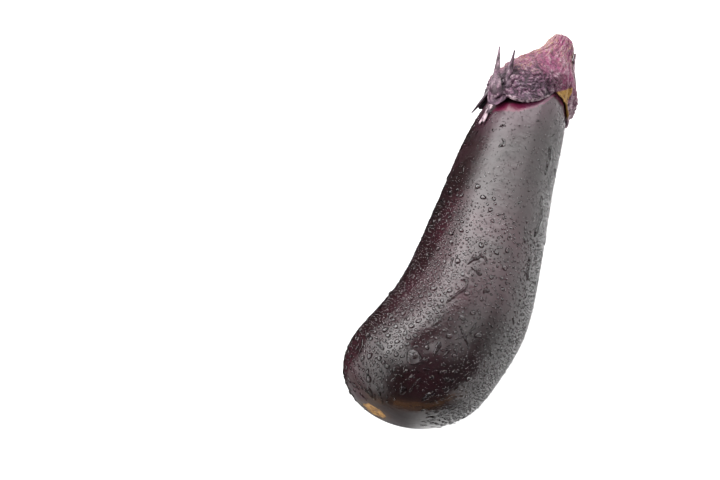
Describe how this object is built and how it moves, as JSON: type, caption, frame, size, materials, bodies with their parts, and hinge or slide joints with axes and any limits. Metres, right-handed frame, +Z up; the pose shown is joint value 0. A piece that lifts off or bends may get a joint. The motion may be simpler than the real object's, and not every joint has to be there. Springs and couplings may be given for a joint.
{
  "type": "eggplant",
  "caption": "Whole fresh eggplant with a long glossy dark purple fruit, slightly bent, and a wrinkled calyx with its cut stem, lying on its side.",
  "frame": {"origin": "bottom centre of the whole object's bounding box, on the surface that it lies on", "axes": "+X along the length towards the stem, +Z up, +Y to the hollow side of the bend"},
  "size_m": [0.2478, 0.0768, 0.0702],
  "materials": {
    "purple_skin": "smooth, glossy, near-black purple skin, wet in places",
    "calyx": "dull, wrinkled, leathery purple-pink calyx and stem",
    "water": "clear drops of water lying on the skin"
  },
  "bodies": {
    "root": {"fruit": "purple_skin", "calyx_and_stem": "calyx"}
  },
  "joints": []
}
